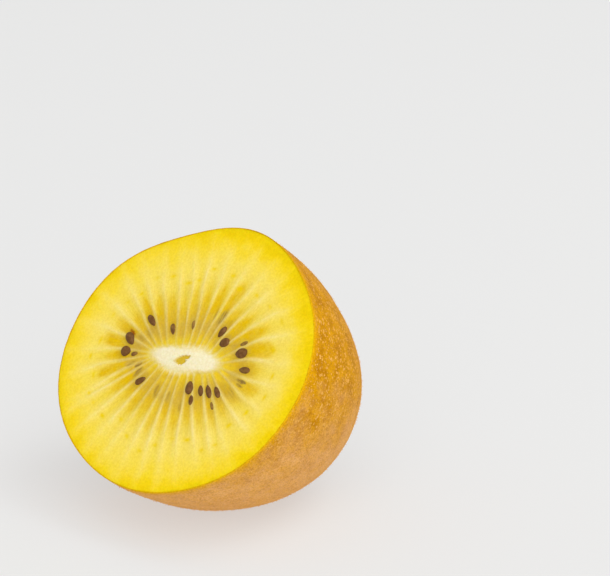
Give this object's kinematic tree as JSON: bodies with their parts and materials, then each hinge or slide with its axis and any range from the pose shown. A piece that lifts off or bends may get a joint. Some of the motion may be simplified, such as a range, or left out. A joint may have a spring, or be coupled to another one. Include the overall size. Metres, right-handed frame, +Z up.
{
  "type": "golden kiwi fruit half",
  "caption": "Crosswise half of a smooth-skinned golden kiwi fruit, lying on its skin with the yellow cut face, pale core, rays and dark seeds turned up and forwards.",
  "frame": {"origin": "on the surface the fruit lies on, under the middle of its box", "axes": "+Z up; the cut face looks towards -Y and up, 37 degrees above level; +X along the cut face's longer width"},
  "size_m": [0.052, 0.0482, 0.0486],
  "materials": {
    "skin": "matte",
    "flesh": "satin",
    "core": "satin",
    "seeds": "gloss"
  },
  "bodies": {
    "root": {"golden_kiwi_half": "flesh"}
  },
  "joints": []
}
